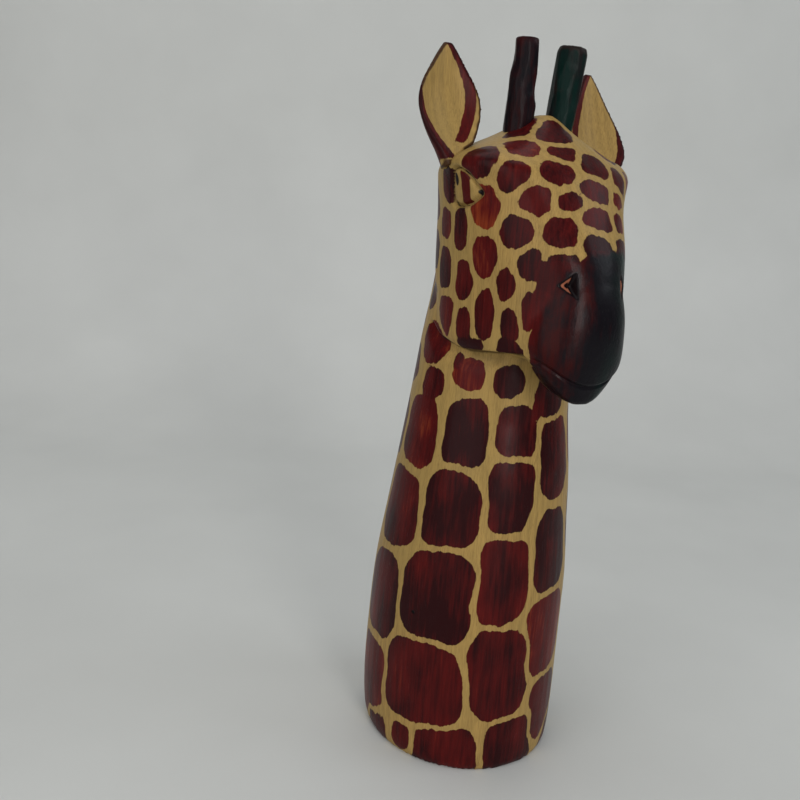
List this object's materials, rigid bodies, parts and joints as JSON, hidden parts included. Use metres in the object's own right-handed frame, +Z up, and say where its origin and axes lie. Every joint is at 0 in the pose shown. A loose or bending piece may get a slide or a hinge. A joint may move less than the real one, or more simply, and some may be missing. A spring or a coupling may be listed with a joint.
{
  "type": "carved giraffe statue",
  "caption": "Free-standing carved wooden giraffe bust: neck block with head facing forward, whittled peg horns and leaf ears, resting on a flat oval foot.",
  "frame": {"origin": "centre of the flat underside of the foot", "axes": "+Z up; the animal faces -Y; its right side is at -X"},
  "size_m": [0.0693, 0.0787, 0.1994],
  "materials": {
    "painted_wood": "satin varnish over golden wood with dark red painted patches",
    "horn_paint": "satin near-black paint on whittled wood",
    "ear_wood": "satin varnish"
  },
  "bodies": {
    "root": {"neck_and_head": "painted_wood", "horn_right": "horn_paint", "horn_left": "horn_paint", "ear_right": "ear_wood", "ear_left": "ear_wood"}
  },
  "joints": []
}
